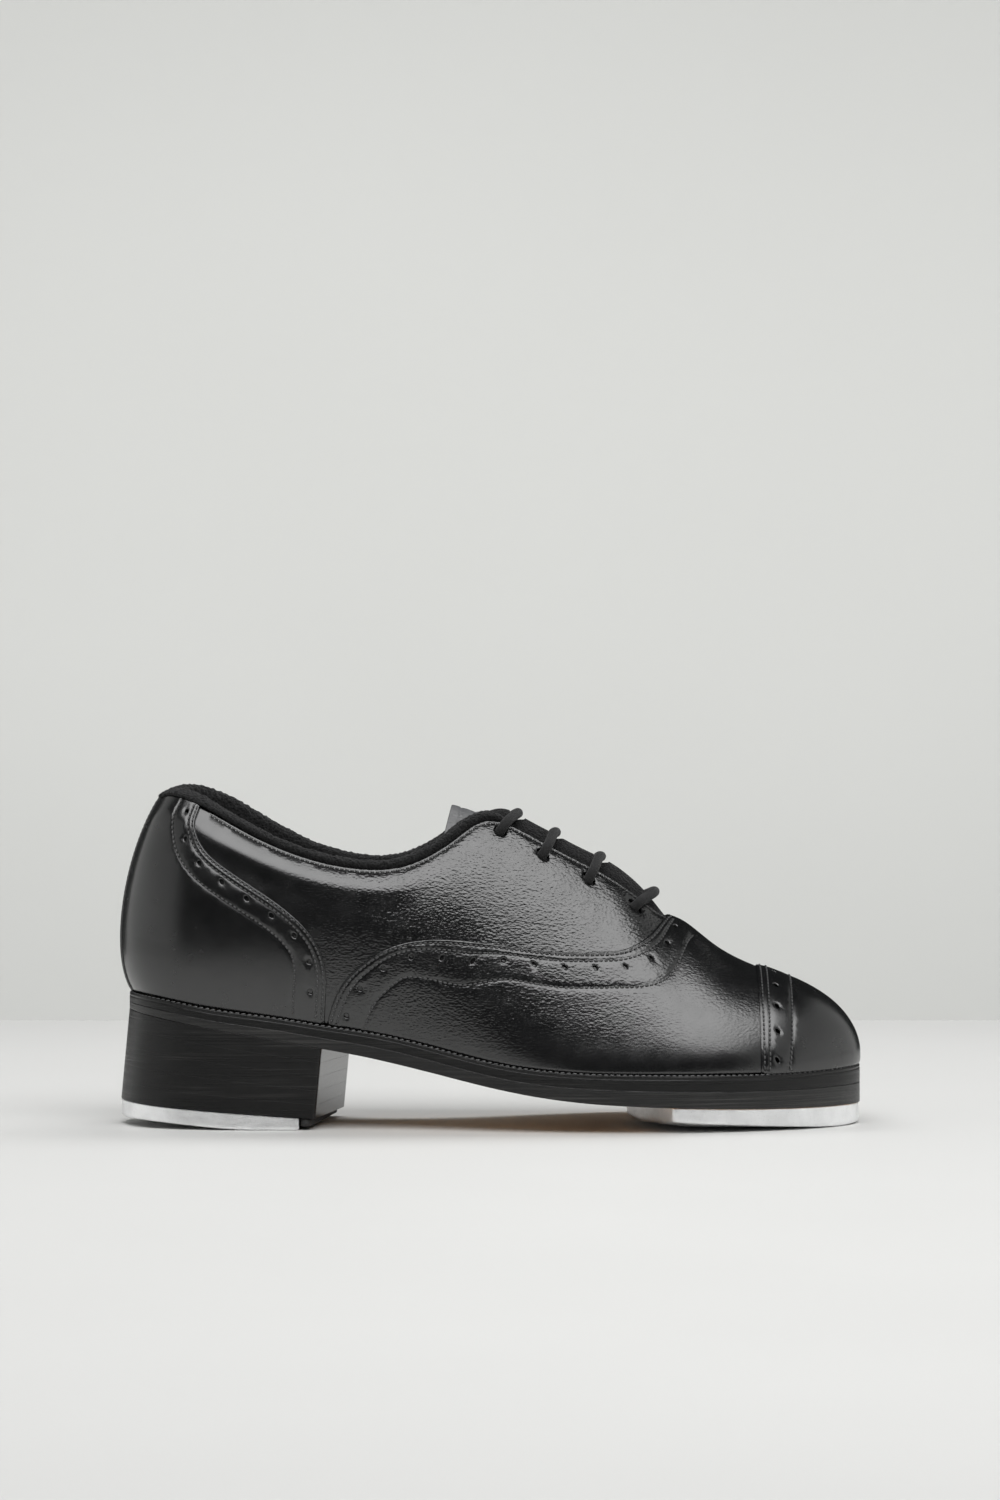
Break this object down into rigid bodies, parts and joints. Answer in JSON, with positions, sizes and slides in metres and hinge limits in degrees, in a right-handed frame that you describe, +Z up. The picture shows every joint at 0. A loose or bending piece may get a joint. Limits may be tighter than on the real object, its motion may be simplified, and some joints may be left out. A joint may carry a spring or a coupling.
{
  "type": "tap shoe",
  "caption": "Black leather lace-up cap-toe tap shoe with a stacked heel and screwed-on aluminium toe and heel taps.",
  "frame": {"origin": "on the floor, under the middle of the shoe's box", "axes": "+X from the heel to the toe, +Y towards the inner (medial) side of the foot, +Z up"},
  "size_m": [0.2806, 0.0946, 0.1284],
  "materials": {
    "upper_leather": "fine-grained black leather, semi-gloss",
    "edge_leather": "ink-dressed leather edge, satin",
    "outsole_leather": "natural tan sole leather with a black dressed edge",
    "heel_leather": "stacked leather, black edge dressing, burnished",
    "rubber": "matt black rubber",
    "tap_metal": "cast aluminium, satin",
    "steel": "bright steel",
    "collar_fabric": "black brushed knit",
    "lining_fabric": "black woven lining",
    "sock_fabric": "black woven sock liner",
    "lace_cord": "round braided black cord",
    "cork": "granulated cork filler",
    "fibre_board": "insole board",
    "stiffener": "thermoplastic stiffener board"
  },
  "bodies": {
    "shoe": {"outsole": "outsole_leather", "midsole": "edge_leather", "welt": "edge_leather", "cork_filler": "cork", "shank": "steel", "insole_board": "fibre_board", "sock_liner": "sock_fabric", "heel_lift_1": "heel_leather", "heel_lift_2": "heel_leather", "heel_lift_3": "heel_leather", "heel_lift_4": "heel_leather", "heel_lift_5": "heel_leather", "heel_rubber_pad": "rubber", "heel_tap": "tap_metal", "toe_tap": "tap_metal", "toe_cap": "upper_leather", "vamp": "upper_leather", "quarter_lateral": "upper_leather", "quarter_medial": "upper_leather", "counter_lateral": "upper_leather", "counter_medial": "upper_leather", "back_strip": "upper_leather", "toe_puff": "stiffener", "heel_stiffener": "stiffener", "lining_quarters": "lining_fabric", "lining_vamp": "lining_fabric", "collar_padding": "collar_fabric", "lace": "lace_cord"},
    "tongue": {"tongue_padding": "collar_fabric", "tongue_tip": "upper_leather"},
    "toe_tap_screw_1": {"toe_tap_screw_1": "steel"},
    "toe_tap_screw_2": {"toe_tap_screw_2": "steel"},
    "toe_tap_screw_3": {"toe_tap_screw_3": "steel"},
    "heel_tap_screw_1": {"heel_tap_screw_1": "steel"},
    "heel_tap_screw_2": {"heel_tap_screw_2": "steel"},
    "heel_tap_screw_3": {"heel_tap_screw_3": "steel"}
  },
  "joints": [
    {"name": "tongue_hinge", "type": "hinge", "parent": "shoe", "child": "tongue", "pos_m": [0.079, 0, 0.0665], "axis": [0, 1, 0], "range_deg": [-12, 0]},
    {"name": "toe_tap_screw_turn_1", "type": "hinge", "parent": "shoe", "child": "toe_tap_screw_1", "pos_m": [0.12, 0.004, 0.0008], "axis": [0, 0, -1], "range_deg": [0, 180]},
    {"name": "toe_tap_screw_turn_2", "type": "hinge", "parent": "shoe", "child": "toe_tap_screw_2", "pos_m": [0.084, -0.025, 0.0008], "axis": [0, 0, -1], "range_deg": [0, 180]},
    {"name": "toe_tap_screw_turn_3", "type": "hinge", "parent": "shoe", "child": "toe_tap_screw_3", "pos_m": [0.086, 0.027, 0.0008], "axis": [0, 0, -1], "range_deg": [0, 180]},
    {"name": "heel_tap_screw_turn_1", "type": "hinge", "parent": "shoe", "child": "heel_tap_screw_1", "pos_m": [-0.128, 0.004, 0.0008], "axis": [0, 0, -1], "range_deg": [0, 180]},
    {"name": "heel_tap_screw_turn_2", "type": "hinge", "parent": "shoe", "child": "heel_tap_screw_2", "pos_m": [-0.092, -0.0235, 0.0008], "axis": [0, 0, -1], "range_deg": [0, 180]},
    {"name": "heel_tap_screw_turn_3", "type": "hinge", "parent": "shoe", "child": "heel_tap_screw_3", "pos_m": [-0.086, 0.0215, 0.0008], "axis": [0, 0, -1], "range_deg": [0, 180]}
  ]
}
